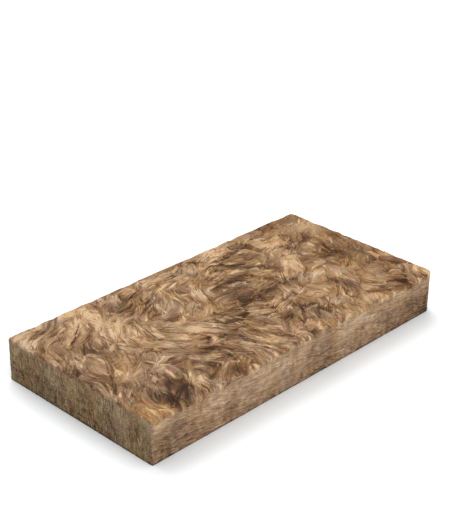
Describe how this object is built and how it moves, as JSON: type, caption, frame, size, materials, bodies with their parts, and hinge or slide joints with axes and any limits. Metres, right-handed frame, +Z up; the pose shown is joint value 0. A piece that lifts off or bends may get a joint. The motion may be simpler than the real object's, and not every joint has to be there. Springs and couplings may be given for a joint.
{
  "type": "mineral wool insulation board",
  "caption": "Thick rectangular slab of brown bonded mineral wool, sawn square, with a flat underside and a tufted upper face, for filling walls, floors and roofs.",
  "frame": {"origin": "centre of the flat underside, on the floor that the board lies on", "axes": "+X along the length of the board, +Y across its width, +Z up through its thickness"},
  "size_m": [1.2, 0.6, 0.14],
  "materials": {
    "brown_mineral_wool": "matt, fibrous"
  },
  "bodies": {
    "root": {"insulation_board": "brown_mineral_wool"}
  },
  "joints": []
}
